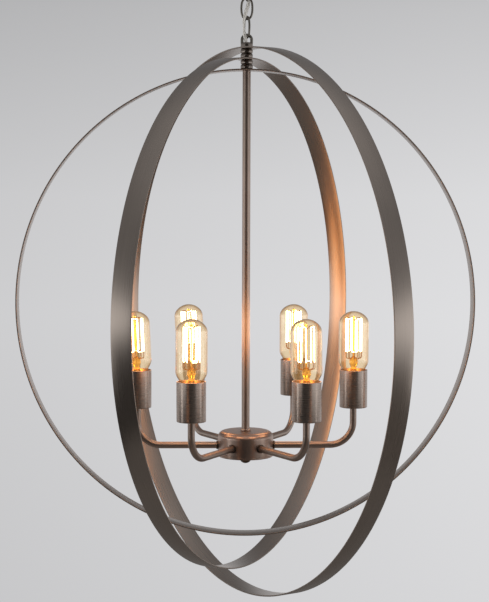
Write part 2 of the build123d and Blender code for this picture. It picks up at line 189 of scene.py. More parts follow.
# Dark nickel for the finial knob and the arm rings; on the arm rings the dark is painted shade of the holes
# where the arms enter the hub
darkRing = plainMetal("blackNickelAndPaintedShade", {
    "light": "#5E554E", "dark": "#4A423B", "mottleSize": 3, "rough": (0.22, 0.34), "relief": 0.1})
chainNickel = plainMetal("nickelPlatedWire", {
    "light": "#8F8A82", "dark": "#75706A", "mottleSize": 6, "rough": (0.22, 0.36), "relief": 0.15})
zincSteel = plainMetal("zincPlatedSteel", {
    "light": "#C4C6C8", "dark": "#A9ABAA", "mottleSize": 5, "rough": (0.3, 0.45), "relief": 0.2})
brassSheet = plainMetal("stampedBrass", {
    "light": "#D9B86A", "dark": "#C29E50", "mottleSize": 7, "rough": (0.25, 0.4), "relief": 0.1})
capNickel = plainMetal("nickelPlatedBrassCap", {
    "light": "#C9C4BC", "dark": "#B2ACA4", "mottleSize": 4, "rough": (0.2, 0.3), "relief": 0.1})
solderTin = plainMetal("solderedTinContact", {
    "light": "#B9BABB", "dark": "#9B9C9E", "mottleSize": 2, "rough": (0.35, 0.5), "relief": 0.5})
mouldedHolder = plainMetal("mouldedPhenolicHolder", {
    "light": "#2B2622", "dark": "#1D1916", "mottleSize": 3, "rough": (0.35, 0.5), "relief": 0.2,
    "metallic": 0.0})
capInsulator = plainMetal("blackGlassInsulator", {
    "light": "#16141A", "dark": "#0C0B0E", "mottleSize": 4, "rough": (0.08, 0.16), "relief": 0.05,
    "metallic": 0.0})


def tintedGlass(name, tint):
    # Blown soda-lime glass, tinted amber in the melt: clear to look through, darker where seen edge on. Its
    # emission is a painted glow, standing in for the filament's light caught in the glass
    material = emptyMaterial(name)
    tree = material.node_tree
    waves = objectNoise(tree, tint["waveSize"], 1.0)
    slant = addNode(tree, "ShaderNodeLayerWeight", {"Blend": tint["blend"]})
    depth = addNode(tree, "ShaderNodeMapRange", {
        "Value": slant.outputs["Facing"], "From Min": tint["clearTo"], "From Max": 1.0},
        interpolation_type="SMOOTHSTEP")
    uneven = solve(tree, "MULTIPLY_ADD", waves, 0.25, depth.outputs["Result"])
    amount = solve(tree, "SUBTRACT", uneven, 0.1, clamped=True)
    bump = addNode(tree, "ShaderNodeBump", {
        "Height": waves, "Strength": tint["relief"], "Distance": 0.3 * mm})
    material.cycles.emission_sampling = "NONE"
    return closeMaterial(material, {
        "Base Color": toneBetween(tree, amount, tint, ("light", "dark")), "Roughness": 0.0, "IOR": 1.5,
        "Transmission Weight": 1.0, "Normal": bump.outputs["Normal"],
        "Emission Color": linearColour(tint["paintedGlowColour"]), "Emission Strength": tint["glow"]})


# The bulb's glass gets a faint painted glow of the filament's light
amberGlass = tintedGlass("amberBlownGlass", {
    "light": "#FFF6E4", "dark": "#C98A2C", "waveSize": 14, "relief": 0.05, "blend": 0.5, "clearTo": 0.3,
    "glow": 0.04, "paintedGlowColour": "#FFCB70"})
# The mount's orange emission is a painted glow of the filament's light caught in its glass
mountGlass = tintedGlass("leadGlassMount", {
    "light": "#FFCC66", "dark": "#B87A20", "waveSize": 6, "relief": 0.1, "blend": 0.4, "clearTo": 0.2,
    "glow": 0.11, "paintedGlowColour": "#FFA010"})


def litCarbon(name, glow):
    # Squirted carbon filament at white heat, or the cooler drawn wire of its hooks, whose emission is a painted
    # glow of the filament's light on them
    material = emptyMaterial(name)
    tree = material.node_tree
    material.cycles.emission_sampling = "NONE"  # the bulb's own lamps light the metal
    return closeMaterial(material, {
        "Base Color": toneBetween(tree, objectNoise(tree, glow["grain"], 2.0), glow), "Roughness": 0.6,
        "Emission Color": linearColour(glow["colour"]), "Emission Strength": glow["strength"]})


litFilament = litCarbon("litCarbonFilament", {
    "colour": "#FFE2A6", "strength": 14.0, "grain": 3, "light": "#7A5A40", "dark": "#5A4030"})
# The hooks' orange emission is a painted glow, not a light of their own
hookWire = litCarbon("molybdenumHookPaintedGlow", {
    "colour": "#A8600C", "strength": 0.45, "grain": 2, "light": "#6B4A33", "dark": "#4A3224"})


def flexJacket(name, jacket):
    # Clear PVC over tinned copper strands: silver lines twisting under a glossy skin
    material = emptyMaterial(name)
    tree = material.node_tree
    place = addNode(tree, "ShaderNodeAttribute", attribute_name="grainPlace")
    parts = addNode(tree, "ShaderNodeSeparateXYZ", {0: place.outputs["Vector"]})
    turn = solve(tree, "ARCTAN2", parts.outputs["Y"], parts.outputs["X"])
    run = solve(tree, "MULTIPLY", parts.outputs["Z"], 2 * pi / (jacket["lay"] * mm))
    twist = solve(tree, "MULTIPLY_ADD", turn, jacket["strands"], run)
    wave = solve(tree, "SINE", twist)
    share = addNode(tree, "ShaderNodeMapRange", {"Value": wave, "From Min": -1.0, "From Max": 1.0})
    return closeMaterial(material, {
        "Base Color": toneBetween(tree, share.outputs["Result"], jacket), "Metallic": 0.2,
        "Roughness": 0.35, "Coat Weight": 1.0, "Coat Roughness": 0.08})


clearFlex = flexJacket("clearFlexOverTinnedCopper", {
    "light": "#F4F1EA", "dark": "#C2BDB5", "strands": 3.0, "lay": 9})
print("materials mixed")


# Helpers for shapes

def softOutline(corners, steps=6):  # corners are radius, height and rounding, in order round the section
    line = []
    for before, corner, after in zip(corners[-1:] + corners[:-1], corners, corners[1:] + corners[:1]):
        here = Vector(corner[:2])
        rounding = corner[2] if len(corner) > 2 else 0
        if not rounding:
            line.append(here)
            continue
        toBefore = (Vector(before[:2]) - here).normalized()
        toAfter = (Vector(after[:2]) - here).normalized()
        half = toBefore.angle(toAfter) / 2
        centre = here + (toBefore + toAfter).normalized() * (rounding / sin(half))
        start = here + toBefore * (rounding / tan(half)) - centre
        end = here + toAfter * (rounding / tan(half)) - centre
        for n in range(steps + 1):
            line.append(centre + start.lerp(end, n / steps).normalized() * rounding)
    return line


def turnedMesh(name, sections, around=96, place=None):
    # Turns each section, an outline with its material's number, round the upright axis
    points, faces, numbers, grain = [], [], [], []
    for outline, number in sections:
        rings, length = [], 0
        for n, point in enumerate(outline):
            length += (point - outline[n - 1]).length if n else 0
            if point.x < 1e-4:
                rings.append([len(points)] * around)
                points.append((0, 0, point.y * mm))
                grain.append((0, 0, length * mm))
                continue
            rings.append(list(range(len(points), len(points) + around)))
            for k in range(around):
                x, y = (point.x * mm * f(2 * pi * k / around) for f in (cos, sin))
                points.append((x, y, point.y * mm))
                grain.append((x, y, length * mm))
        for lower, upper in zip(rings, rings[1:] + rings[:1]):
            for k in range(around):
                m = (k + 1) % around
                corners = list(dict.fromkeys((lower[k], lower[m], upper[m], upper[k])))
                if len(corners) > 2:
                    faces.append(corners)
                    numbers.append(number)
    mesh = bpy.data.meshes.new(name)
    mesh.from_pydata(points, [], faces)
    mesh.polygons.foreach_set("material_index", numbers)
    marks = mesh.attributes.new("grainPlace", "FLOAT_VECTOR", "POINT")
    marks.data.foreach_set("vector", [c for g in grain for c in g])
    work = bmesh.new()
    work.from_mesh(mesh)
    bmesh.ops.recalc_face_normals(work, faces=work.faces)
    work.to_mesh(mesh)
    work.free()
    mesh.shade_smooth()
    mesh.set_sharp_from_angle(angle=radians(38))
    if place is not None:
        mesh.transform(place)
    return mesh


def standObject(name, data):
    item = bpy.data.objects.new(name, data)
    scene.collection.objects.link(item)
    return item


def pathMesh(name, points):
    mesh = bpy.data.meshes.new(name)
    mesh.from_pydata([Vector(p) * mm for p in points], [(n, n + 1) for n in range(len(points) - 1)], [])
    return mesh


def startTree(name, sizes):
    tree = bpy.data.node_groups.new(name, "GeometryNodeTree")
    tree.interface.new_socket("Geometry", in_out="INPUT", socket_type="NodeSocketGeometry")
    for title, kind in sizes.items():
        tree.interface.new_socket(title, in_out="INPUT", socket_type="NodeSocket" + kind)
    tree.interface.new_socket("Geometry", in_out="OUTPUT", socket_type="NodeSocketGeometry")
    return tree, tree.nodes.new("NodeGroupInput").outputs


def endTree(tree, geometry, material=None):
    whole = addNode(tree, "GeometryNodeRealizeInstances", {0: geometry}).outputs[0]
    if material is not None:
        whole = addNode(tree, "GeometryNodeSetMaterial", {
            "Geometry": whole, "Material": material}).outputs[0]
    addNode(tree, "NodeGroupOutput", {0: whole})
    return tree


def grownMesh(name, tree, sizes, base=None):
    # Runs a tree on its base mesh, or on none, and gives back the plain mesh
    seed = standObject(name + "Seed", base or bpy.data.meshes.new(name + "Seed"))
    modifier = seed.modifiers.new("grow", "NODES")
    modifier.node_group = tree
    sockets = {item.name: item.identifier for item in tree.interface.items_tree
               if item.item_type == "SOCKET" and item.in_out == "INPUT"}
    for title, value in sizes.items():
        modifier[sockets[title]] = value
    depsgraph = bpy.context.evaluated_depsgraph_get()
    mesh = bpy.data.meshes.new_from_object(
        seed.evaluated_get(depsgraph), preserve_all_data_layers=True, depsgraph=depsgraph)
    seed.modifiers.remove(modifier)
    bpy.data.objects.remove(seed)
    mesh.shade_smooth()
    mesh.set_sharp_from_angle(angle=radians(38))
    return mesh


def addPiece(name, mesh, body, nodes, materials=()):
    mesh.name = name
    if materials:
        mesh.materials.clear()
        for material in materials:
            mesh.materials.append(material)
    piece = standObject(name, mesh)
    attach(piece, body)
    if nodes:
        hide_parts(*nodes)
    return piece


def heights(node):
    low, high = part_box(node)
    return low.z / mm, high.z / mm


def turnPiece(name, outline, body, node, material, around=96):  # one turned part for one node of the CAD
    mesh = turnedMesh(name, [(outline, 0)], around=around)
    addPiece(name, mesh, body, [node], [material])


# Trees

def addCircle(tree, sides, radius):
    return addNode(tree, "GeometryNodeCurvePrimitiveCircle", {
        "Resolution": sides, "Radius": radius}).outputs["Curve"]


def addVector(tree, **parts):  # parts that aren't given stay nought
    places = {"x": 0, "y": 1, "z": 2}
    return addNode(tree, "ShaderNodeCombineXYZ", {
        places[axis]: value for axis, value in parts.items()}).outputs[0]


def storeMark(tree, geometry, name, value, kind="FLOAT_VECTOR"):
    return addNode(tree, "GeometryNodeStoreNamedAttribute", {
        "Geometry": geometry, "Name": name, "Value": value}, data_type=kind, domain="POINT").outputs[0]


def bentStripTree():
    # Flat strip rolled into a ring; its own weight draws it a little tall. It starts and ends at the crown.
    tree, given = startTree("bentStrip", {
        "Radius": "Float", "Sag": "Float", "Width": "Float", "Thickness": "Float", "Edge": "Float",
        "Segments": "Int", "Turn": "Float", "Top": "Float", "Material": "Material"})
    ring = addCircle(tree, given["Segments"], 1.0)
    upright = addNode(tree, "GeometryNodeSetCurveNormal", {"Curve": ring}, mode="Z_UP")
    half = solve(tree, "MULTIPLY", given["Thickness"], 0.5)
    sag = solve(tree, "MULTIPLY", given["Radius"], given["Sag"])
    tallOuter = solve(tree, "ADD", given["Radius"], sag)
    tall = solve(tree, "SUBTRACT", tallOuter, half)
    wideOuter = solve(tree, "SUBTRACT", given["Radius"], sag)
    wide = solve(tree, "SUBTRACT", wideOuter, half)
    stretch = addVector(tree, x=tall, y=wide)
    here = addNode(tree, "GeometryNodeInputPosition")
    there = addNode(tree, "ShaderNodeVectorMath", {0: here.outputs[0], 1: stretch}, operation="MULTIPLY")
    oval = addNode(tree, "GeometryNodeSetPosition", {
        "Geometry": upright.outputs[0], "Position": there.outputs[0]})
    length = addNode(tree, "GeometryNodeSplineParameter")
    marked = storeMark(tree, oval.outputs[0], "along", length.outputs["Length"], "FLOAT")
    section = addNode(tree, "GeometryNodeCurvePrimitiveQuadrilateral", {
        "Width": given["Thickness"], "Height": given["Width"]})
    eased = addNode(tree, "GeometryNodeFilletCurve", {
        "Curve": section.outputs[0], "Count": 3, "Radius": given["Edge"]}, mode="POLY")
    across = storeMark(tree, eased.outputs[0], "across", here.outputs[0])
    strip = addNode(tree, "GeometryNodeCurveToMesh", {"Curve": marked, "Profile Curve": across})
    grained = addGrain(tree, strip.outputs[0])
    turn = addVector(tree, x=-pi / 2, y=-pi / 2, z=given["Turn"])
    centre = solve(tree, "SUBTRACT", given["Top"], tallOuter)
    hung = addNode(tree, "GeometryNodeTransform", {
        "Geometry": grained, "Rotation": turn, "Translation": addVector(tree, z=centre)})
    return endTree(tree, hung.outputs[0], given["Material"])


def addGrain(tree, geometry):
    # Where each point lies in the section and along the run, for the brushed finish
    along = addNode(tree, "GeometryNodeInputNamedAttribute", {"Name": "along"}, data_type="FLOAT")
    across = addNode(tree, "GeometryNodeInputNamedAttribute", {"Name": "across"}, data_type="FLOAT_VECTOR")
    parts = addNode(tree, "ShaderNodeSeparateXYZ", {0: across.outputs["Attribute"]})
    both = addVector(tree, x=parts.outputs["X"], y=parts.outputs["Y"], z=along.outputs["Attribute"])
    return storeMark(tree, geometry, "grainPlace", both)


def addCopies(tree, geometry, given):
    # Copies turned and lifted in equal steps about the stem
    count = addNode(tree, "GeometryNodePoints", {"Count": given["Count"]})
    number = addNode(tree, "GeometryNodeInputIndex")
    angle = solve(tree, "MULTIPLY_ADD", number.outputs[0], given["Turn Step"], given["First Turn"])
    lift = solve(tree, "MULTIPLY", number.outputs[0], given["Rise Step"])
    lifted = addNode(tree, "GeometryNodeSetPosition", {
        "Geometry": count.outputs[0], "Position": addVector(tree, z=lift)})
    return addNode(tree, "GeometryNodeInstanceOnPoints", {
        "Points": lifted.outputs[0], "Instance": geometry, "Rotation": addVector(tree, z=angle)}).outputs[0]


copyInputs = {
    "Count": "Int", "First Turn": "Float", "Turn Step": "Float", "Rise Step": "Float", "Material": "Material"}


def sweptBarTree():
    # Round bar or tube along a path, with rounded bends, repeated about the stem
    tree, given = startTree("sweptBar", {
        "Bar Radius": "Float", "Sides": "Int", "Bend Radius": "Float", "Bend Steps": "Int", **copyInputs})
    path = addNode(tree, "GeometryNodeMeshToCurve", {"Mesh": given["Geometry"]})
    bent = addNode(tree, "GeometryNodeFilletCurve", {
        "Curve": path.outputs[0], "Count": given["Bend Steps"], "Radius": given["Bend Radius"],
        "Limit Radius": True}, mode="POLY")
    length = addNode(tree, "GeometryNodeSplineParameter")
    marked = storeMark(tree, bent.outputs[0], "along", length.outputs["Length"], "FLOAT")
    section = addCircle(tree, given["Sides"], given["Bar Radius"])
    here = addNode(tree, "GeometryNodeInputPosition")
    across = storeMark(tree, section, "across", here.outputs[0])
    bar = addNode(tree, "GeometryNodeCurveToMesh", {
        "Curve": marked, "Profile Curve": across, "Fill Caps": True})
    grained = addGrain(tree, bar.outputs[0])
    return endTree(tree, addCopies(tree, grained, given), given["Material"])


def copiesTree():
    tree, given = startTree("equalCopies", copyInputs)
    return endTree(tree, addCopies(tree, given["Geometry"], given), given["Material"])


def ovalLinkTree():
    # One welded chain link: straight-sided oval of round wire with tight, full ends
    tree, given = startTree("ovalLink", {
        "Half Width": "Float", "Half Length": "Float", "Fullness": "Float", "Wire Radius": "Float",
        "Middle": "Float", "Turn": "Float", "Material": "Material"})
    ring = addCircle(tree, 96, 1.0)
    here = addNode(tree, "GeometryNodeInputPosition")
    parts = addNode(tree, "ShaderNodeSeparateXYZ", {0: here.outputs[0]})
    high = solve(tree, "POWER", parts.outputs["Y"], 2.0)
    full = solve(tree, "MULTIPLY_ADD", high, given["Fullness"], 1.0)
    wide = solve(tree, "MULTIPLY", parts.outputs["X"], full)
    x = solve(tree, "MULTIPLY", wide, given["Half Width"])
    z = solve(tree, "MULTIPLY", parts.outputs["Y"], given["Half Length"])
    oval = addNode(tree, "GeometryNodeSetPosition", {
        "Geometry": ring, "Position": addVector(tree, x=x, z=z)})
    section = addCircle(tree, 20, given["Wire Radius"])
    wire = addNode(tree, "GeometryNodeCurveToMesh", {"Curve": oval.outputs[0], "Profile Curve": section})
    hung = addNode(tree, "GeometryNodeTransform", {
        "Geometry": wire.outputs[0], "Rotation": addVector(tree, z=given["Turn"]),
        "Translation": addVector(tree, z=given["Middle"])})
    return endTree(tree, hung.outputs[0], given["Material"])


def screwThreadTree():
    # Rolled thread of the bulb cap, laid as a helix on its shell
    tree, given = startTree("screwThread", {
        "Thread Radius": "Float", "Crest": "Float", "Turns": "Float", "Rise": "Float", "Low": "Float",
        "Material": "Material"})
    helix = addNode(tree, "GeometryNodeCurveSpiral", {
        "Resolution": 40, "Rotations": given["Turns"], "Start Radius": given["Thread Radius"],
        "End Radius": given["Thread Radius"], "Height": given["Rise"]})
    section = addCircle(tree, 10, given["Crest"])
    thread = addNode(tree, "GeometryNodeCurveToMesh", {
        "Curve": helix.outputs[0], "Profile Curve": section, "Fill Caps": True})
    raised = addNode(tree, "GeometryNodeTransform", {
        "Geometry": thread.outputs[0], "Translation": addVector(tree, z=given["Low"])})
    plated = addNode(tree, "GeometryNodeSetMaterial", {
        "Geometry": raised.outputs[0], "Material": given["Material"]})
    both = tree.nodes.new("GeometryNodeJoinGeometry")
    tree.links.new(plated.outputs[0], both.inputs[0])
    tree.links.new(given["Geometry"], both.inputs[0])
    return endTree(tree, both.outputs[0])


bentStrip = bentStripTree()
sweptBar = sweptBarTree()
equalCopies = copiesTree()
ovalLink = ovalLinkTree()
screwThread = screwThreadTree()
single = {"Count": 1, "First Turn": 0.0, "Turn Step": 0.0, "Rise Step": 0.0}


def barMesh(name, base, radius, sides, material, bend=0.0, bendSteps=1, copies=single):
    # Round bar on every edge line of the base mesh
    return grownMesh(name, sweptBar, {
        **copies, "Bar Radius": radius * mm, "Sides": sides, "Bend Radius": bend * mm,
        "Bend Steps": bendSteps, "Material": material}, base)


print("trees grown")


# Hoops
hoops = {"outer": (400.0, -59.4), "middle": (373.0, 64.6), "inner": (344.5, 1.8)}  # radius, and turn in degrees
strip = {"width": 30.0, "thickness": 2.0, "edge": 0.45, "sag": 0.0139, "segments": 288}
for name, (radius, turn) in hoops.items():
    mesh = grownMesh("hoop" + name.capitalize(), bentStrip, {
        "Radius": radius * mm, "Sag": strip["sag"] * (radius / hoops["outer"][0]) ** 3,
        "Width": strip["width"] * mm, "Thickness": strip["thickness"] * mm, "Edge": strip["edge"] * mm,
        "Segments": strip["segments"],
        "Turn": radians(turn), "Top": heights("hoop_" + name)[1] * mm, "Material": satinStrip})
    addPiece("hoop" + name.capitalize(), mesh, "hoop_" + name, ["hoop_" + name])
print("hoops bent")


# Turned stack between the hoops, with the eye above it
stack = {
    "radius": 9.1, "groove": 7.6, "bore": 4.9, "threadBore": 3.15, "seat": 0.15, "beads": 2, "step": 0.25,
    "edge": 0.35, "fullness": 0.8, "collar": 7.0, "foot": 0.4, "shoulder": 2.2}
middleTop, innerTop = heights("hoop_middle")[1], heights("hoop_inner")[1]
pitch = (heights("hoop_spacers")[1] - middleTop - stack["seat"]) / stack["beads"]
belly = stack["radius"] - stack["groove"] - stack["step"]
bead = [Vector((stack["bore"], 0)), Vector((stack["groove"], 0))]
for n in range(13):
    lift = pi * n / 12
    bead.append(Vector((
        stack["groove"] + stack["step"] + belly * sin(lift) ** stack["fullness"],
        stack["edge"] + (pitch - 2 * stack["edge"]) * (1 - cos(lift)) / 2)))
bead += [Vector((stack["groove"], pitch)), Vector((stack["bore"], pitch))]
for name, low in (("spacerUpper", middleTop), ("spacerLower", innerTop)):
    mesh = grownMesh(name, equalCopies, {
        **single, "Count": stack["beads"], "Rise Step": pitch * mm, "Material": smokedTurned},
        turnedMesh(name, [(bead, 0)]))
    mesh.transform(Matrix.Translation((0, 0, (low + stack["seat"]) * mm)))
    addPiece(name, mesh, "fixture", ["hoop_spacers"])

eye = {"radius": 7.0, "wire": 2.2, "leg": 4.0, "sunk": 1.0, "sides": 20, "bendSteps": 14}
collarLow = heights("top_loop")[0]
collarTop = collarLow + stack["collar"]
topEyeZ = collarTop + eye["leg"] + eye["radius"]
collar = softOutline([
    (stack["threadBore"], collarLow), (stack["radius"], collarLow, stack["foot"]),
    (stack["radius"], collarTop, stack["shoulder"]), (stack["threadBore"], collarTop)])
turnPiece("topCollar", collar, "fixture", "top_loop", smokedTurned)


def addEye(name, body, foot, arch):  # wire bent to an eye, its legs sunk into the collar at the foot
    side = eye["radius"]
    path = pathMesh(name + "Path", [(-side, 0, foot), (-side, 0, arch), (side, 0, arch), (side, 0, foot)])
    mesh = barMesh(name, path, eye["wire"], eye["sides"], chainNickel, side, eye["bendSteps"])
    addPiece(name, mesh, body, [])


addEye("topEye", "fixture", collarTop - eye["sunk"], topEyeZ)


# Chain
link = {"halfWidth": 8.1, "halfLength": 15.4, "fullness": 0.226, "wire": 1.6, "turns": (90.0, 0.0, -62.0)}
for n, turn in enumerate(link["turns"], 1):
    low, high = heights(f"chain_link_{n}")
    mesh = grownMesh(f"chainLink{n}", ovalLink, {
        "Half Width": link["halfWidth"] * mm, "Half Length": link["halfLength"] * mm,
        "Fullness": link["fullness"], "Wire Radius": link["wire"] * mm,
        "Middle": (low + high) / 2 * mm, "Turn": radians(turn), "Material": chainNickel})
    addPiece(f"chainLink{n}", mesh, f"link_{n}", [f"chain_link_{n}"])


# Canopy with its loop and ring nut
canopy = {
    "radius": 63.5, "depth": 25.0, "wall": 1.2, "edge": 10.0, "bore": 8.3, "rimDrop": 0.05, "rim": 0.4}
inside, roof = canopy["radius"] - canopy["wall"], canopy["wall"] - canopy["depth"]
bell = softOutline([
    (canopy["bore"], -canopy["depth"]), (canopy["radius"], -canopy["depth"], canopy["edge"]),
    (canopy["radius"], -canopy["rimDrop"], canopy["rim"]), (inside, -canopy["rimDrop"], canopy["rim"]),
    (inside, roof, canopy["edge"] - canopy["wall"]), (canopy["bore"], roof)], steps=10)
turnPiece("canopyBell", bell, "canopy", "canopy", satinTurned, around=128)
ringNut = {"bore": 8.1, "neck": 11.5, "radius": 14.0, "shoulder": 2.5, "edge": 0.5, "shoulderEdge": 0.6}
nutLow, nutTop = heights("canopy_nut")
nutSection = softOutline([
    (ringNut["bore"], nutLow), (ringNut["neck"], nutLow, ringNut["edge"]),
    (ringNut["radius"], nutLow + ringNut["shoulder"], ringNut["shoulderEdge"]),
    (ringNut["radius"], nutTop, ringNut["edge"]), (ringNut["bore"], nutTop)])
turnPiece("canopyRingNut", nutSection, "canopy", "canopy_nut", satinTurned)
barrel = {
    "radius": 8.0, "flange": 6.2, "round": 2.2, "edge": 0.5, "threadBore": 5.0, "threadDepth": 9.5,
    "flexBore": 3.15}
loopBottom, barrelTop = heights("canopy_loop")
flangeLow, threadLow = nutLow - barrel["flange"], barrelTop - barrel["threadDepth"]
barrelSection = softOutline([
    (barrel["flexBore"], flangeLow), (barrel["radius"], flangeLow, barrel["round"]),
    (barrel["radius"], barrelTop, barrel["edge"]), (barrel["threadBore"], barrelTop),
    (barrel["threadBore"], threadLow), (barrel["flexBore"], threadLow)])
turnPiece("canopyBarrel", barrelSection, "canopy", "canopy_loop", satinTurned)
addEye("canopyEye", "canopy", flangeLow + eye["sunk"], loopBottom + eye["wire"])
print("chain hung")


# Flex woven down the chain: the route's points are those of the part's own tube
flex = {
    "conductor": 1.3, "apart": 1.5, "steps": 40, "turnStart": 0.3, "lay": 90.0, "overlap": 1.2, "bend": 6.0}
linkTops = [heights(f"chain_link_{n}")[1] - link["wire"] for n in (1, 2, 3)]
flexRoute = [
    (0, 0, -1.0),
    (0, 0, flangeLow - 0.5),
    (4.6, 5.2, flangeLow - 10.5),
    (4.0, 4.6, linkTops[1] - 3),
    (-3.6, -4.4, linkTops[2] - 1),
    (-5.0, -4.0, linkTops[2] - 10),
    (-3.2, -4.4, topEyeZ - 2),
    (-0.6, -0.8, collarTop + 0.5),
    (-0.6, -0.8, collarLow),
]
curve = bpy.data.curves.new("flexRoute", "CURVE")
curve.dimensions = "3D"
curve.resolution_u = flex["steps"]
spline = curve.splines.new("NURBS")
spline.points.add(len(flexRoute) - 1)
for point, place in zip(spline.points, flexRoute):
    point.co = (*(Vector(place) * mm), 1)
spline.order_u = 3
spline.use_endpoint_u = True
routeObject = standObject("flexRoute", curve)
depsgraph = bpy.context.evaluated_depsgraph_get()
routeMesh = bpy.data.meshes.new_from_object(routeObject.evaluated_get(depsgraph))
routeLine = [v.co / mm for v in routeMesh.vertices]
bpy.data.objects.remove(routeObject)
spans = [  # stretch, the bodies it joins, height of the joint it crosses, the CAD node it stands for
    ("flexTop", "canopy", "link_1", linkTops[0] - 1.0, "cord_1"),
    ("flexUpper", "link_1", "link_2", linkTops[1] - 1.75, "cord_2"),
    ("flexMiddle", "link_2", "link_3", linkTops[2] - 1.75, "cord_3"),
    ("flexLower", "link_3", "fixture", topEyeZ - 2, "cord_4"),
]
joints = [jointZ for _, _, _, jointZ, _ in spans]
cuts = [flexRoute[0][2]] + [(a + b) / 2 for a, b in zip(joints, joints[1:])] + [flexRoute[-1][2]]
for (name, bodyA, bodyB, jointZ, node), high, low in zip(spans, cuts, cuts[1:]):
    line = [p for p in routeLine if low - flex["overlap"] <= p.z <= high + flex["overlap"]]
    twin = bmesh.new()
    for way in (-flex["apart"], flex["apart"]):
        turns = [flex["turnStart"] + 2 * pi * p.z / flex["lay"] for p in line]
        twin.from_mesh(pathMesh(name, [p + Vector((cos(a), sin(a), 0)) * way for p, a in zip(line, turns)]))
    pair = bpy.data.meshes.new(name)
    twin.to_mesh(pair)
    twin.free()
    piece = standObject(name, barMesh(name, pair, flex["conductor"], 16, clearFlex))
    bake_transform(piece)
    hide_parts(node)
print("flex woven")


# Stem, hub, cover and finial
stem = {"radius": 6.0, "sides": 64, "ring": 7.8, "ringBore": 6.1, "ringFoot": 0.6, "ringShoulder": 1.2}
stemPath = pathMesh("stemPath", [(0, 0, z) for z in heights("stem")])
mesh = barMesh("stemTube", stemPath, stem["radius"], stem["sides"], satinTube)
addPiece("stemTube", mesh, "fixture", ["stem"])
ringLow, ringHigh = heights("stem_collar")
stemRing = softOutline([
    (stem["ringBore"], ringLow), (stem["ring"], ringLow, stem["ringFoot"]),
    (stem["ring"], ringHigh, stem["ringShoulder"]), (stem["ringBore"], ringHigh)])
turnPiece("stemRing", stemRing, "fixture", "stem_collar", satinTurned)

hub = {"radius": 41.5, "round": 9.0, "wall": 2.2, "bore": 5.0, "edge": 0.3}
hubLow, hubTop = heights("hub")
inside, roof = hub["radius"] - hub["wall"], hubTop - hub["wall"]
hubShell = softOutline([
    (hub["bore"], hubTop), (hub["radius"], hubTop, hub["round"]), (hub["radius"], hubLow, hub["edge"]),
    (inside, hubLow, hub["edge"]), (inside, roof, hub["round"] - hub["wall"]), (hub["bore"], roof)],
    steps=12)
turnPiece("hubShell", hubShell, "fixture", "hub", satinHub, around=128)
cover = {"round": 1.4, "gap": 0.2, "edge": 0.3, "lip": 39.0, "lipInside": 37.0, "lipTall": 3.0}
coverLow, coverTop = heights("hub_cover")[0], hubLow - cover["gap"]
lipTop = coverTop + cover["lipTall"]
coverPlate = softOutline([
    (0, coverLow), (hub["radius"], coverLow, cover["round"]), (hub["radius"], coverTop, cover["edge"]),
    (cover["lip"], coverTop), (cover["lip"], lipTop), (cover["lipInside"], lipTop),
    (cover["lipInside"], coverTop), (0, coverTop)])
turnPiece("hubCover", coverPlate, "fixture", "hub_cover", satinHub, around=128)
knob = {"radius": 8.7, "half": 7.5, "neck": 5.2, "neckTall": 1.2, "gap": 0.2, "sweep": 100, "steps": 16}
knobLow, knobTop = heights("finial")[0], coverLow - knob["gap"]
knobLine = [Vector((x, z)) for x, z in (
    (0, knobTop), (knob["neck"], knobTop), (knob["neck"], knobTop - knob["neckTall"]))]
for n in range(knob["steps"] + 1):
    a = radians(knob["sweep"] * (1 - n / knob["steps"]))
    knobLine.append(Vector((knob["radius"] * sin(a), knobLow + knob["half"] * (1 - cos(a)))))
turnPiece("finialKnob", knobLine, "fixture", "finial", darkRing, around=64)
print("hub closed")


# Arms, their rings and the cups
arms = {
    "count": 6, "first": 2.0, "step": 60.0, "reach": 162.0, "start": 32.3, "radius": 5.0, "sides": 40,
    "bend": 35.0, "bendSteps": 24}
armLow, armTop = heights("arm_1")
armZ = armLow + arms["radius"]
sixRound = {
    "Count": arms["count"], "First Turn": radians(arms["first"]), "Turn Step": radians(arms["step"]),
    "Rise Step": 0.0}
armPath = pathMesh("armPath", [
    (arms["start"], 0, armZ), (arms["reach"], 0, armZ), (arms["reach"], 0, armTop)])
mesh = barMesh(
    "bentArms", armPath, arms["radius"], arms["sides"], satinTube, arms["bend"], arms["bendSteps"], sixRound)
addPiece("bentArms", mesh, "fixture", [f"arm_{n}" for n in range(1, 7)])

# The arm rings' dark colour is painted shade at the holes where the arms go into the hub
armRing = {"bore": 5.1, "radius": 6.4, "near": 41.0, "far": 43.9, "nearEdge": 0.3, "farEdge": 0.7}
ringSection = softOutline([
    (armRing["bore"], armRing["near"]), (armRing["radius"], armRing["near"], armRing["nearEdge"]),
    (armRing["radius"], armRing["far"], armRing["farEdge"]), (armRing["bore"], armRing["far"])])
laidOnArm = Matrix.Translation((0, 0, armZ * mm)) @ Matrix.Rotation(pi / 2, 4, "Y")
mesh = grownMesh("armRings", equalCopies, {**sixRound, "Material": darkRing},
                 turnedMesh("armRing", [(ringSection, 0)], around=48, place=laidOnArm))
addPiece("armRings", mesh, "fixture", ["arm_rings"])

cup = {"radius": 20.8, "wall": 1.4, "bore": 5.1, "footEdge": 1.0, "rimEdge": 0.5}
cupLow, cupHigh = heights("cup_1")
inside, cupFloor = cup["radius"] - cup["wall"], cupLow + cup["wall"]
cupSection = softOutline([
    (cup["bore"], cupLow), (cup["radius"], cupLow, cup["footEdge"]),
    (cup["radius"], cupHigh, cup["rimEdge"]), (inside, cupHigh, cup["rimEdge"]),
    (inside, cupFloor), (cup["bore"], cupFloor)])
atArmEnd = Matrix.Translation((arms["reach"] * mm, 0, 0))
mesh = grownMesh("lampCups", equalCopies, {**sixRound, "Material": satinTurned},
                 turnedMesh("lampCup", [(cupSection, 0)], place=atArmEnd))
addPiece("lampCups", mesh, "fixture", [f"cup_{n}" for n in range(1, 7)])
print("arms bent, cups turned")


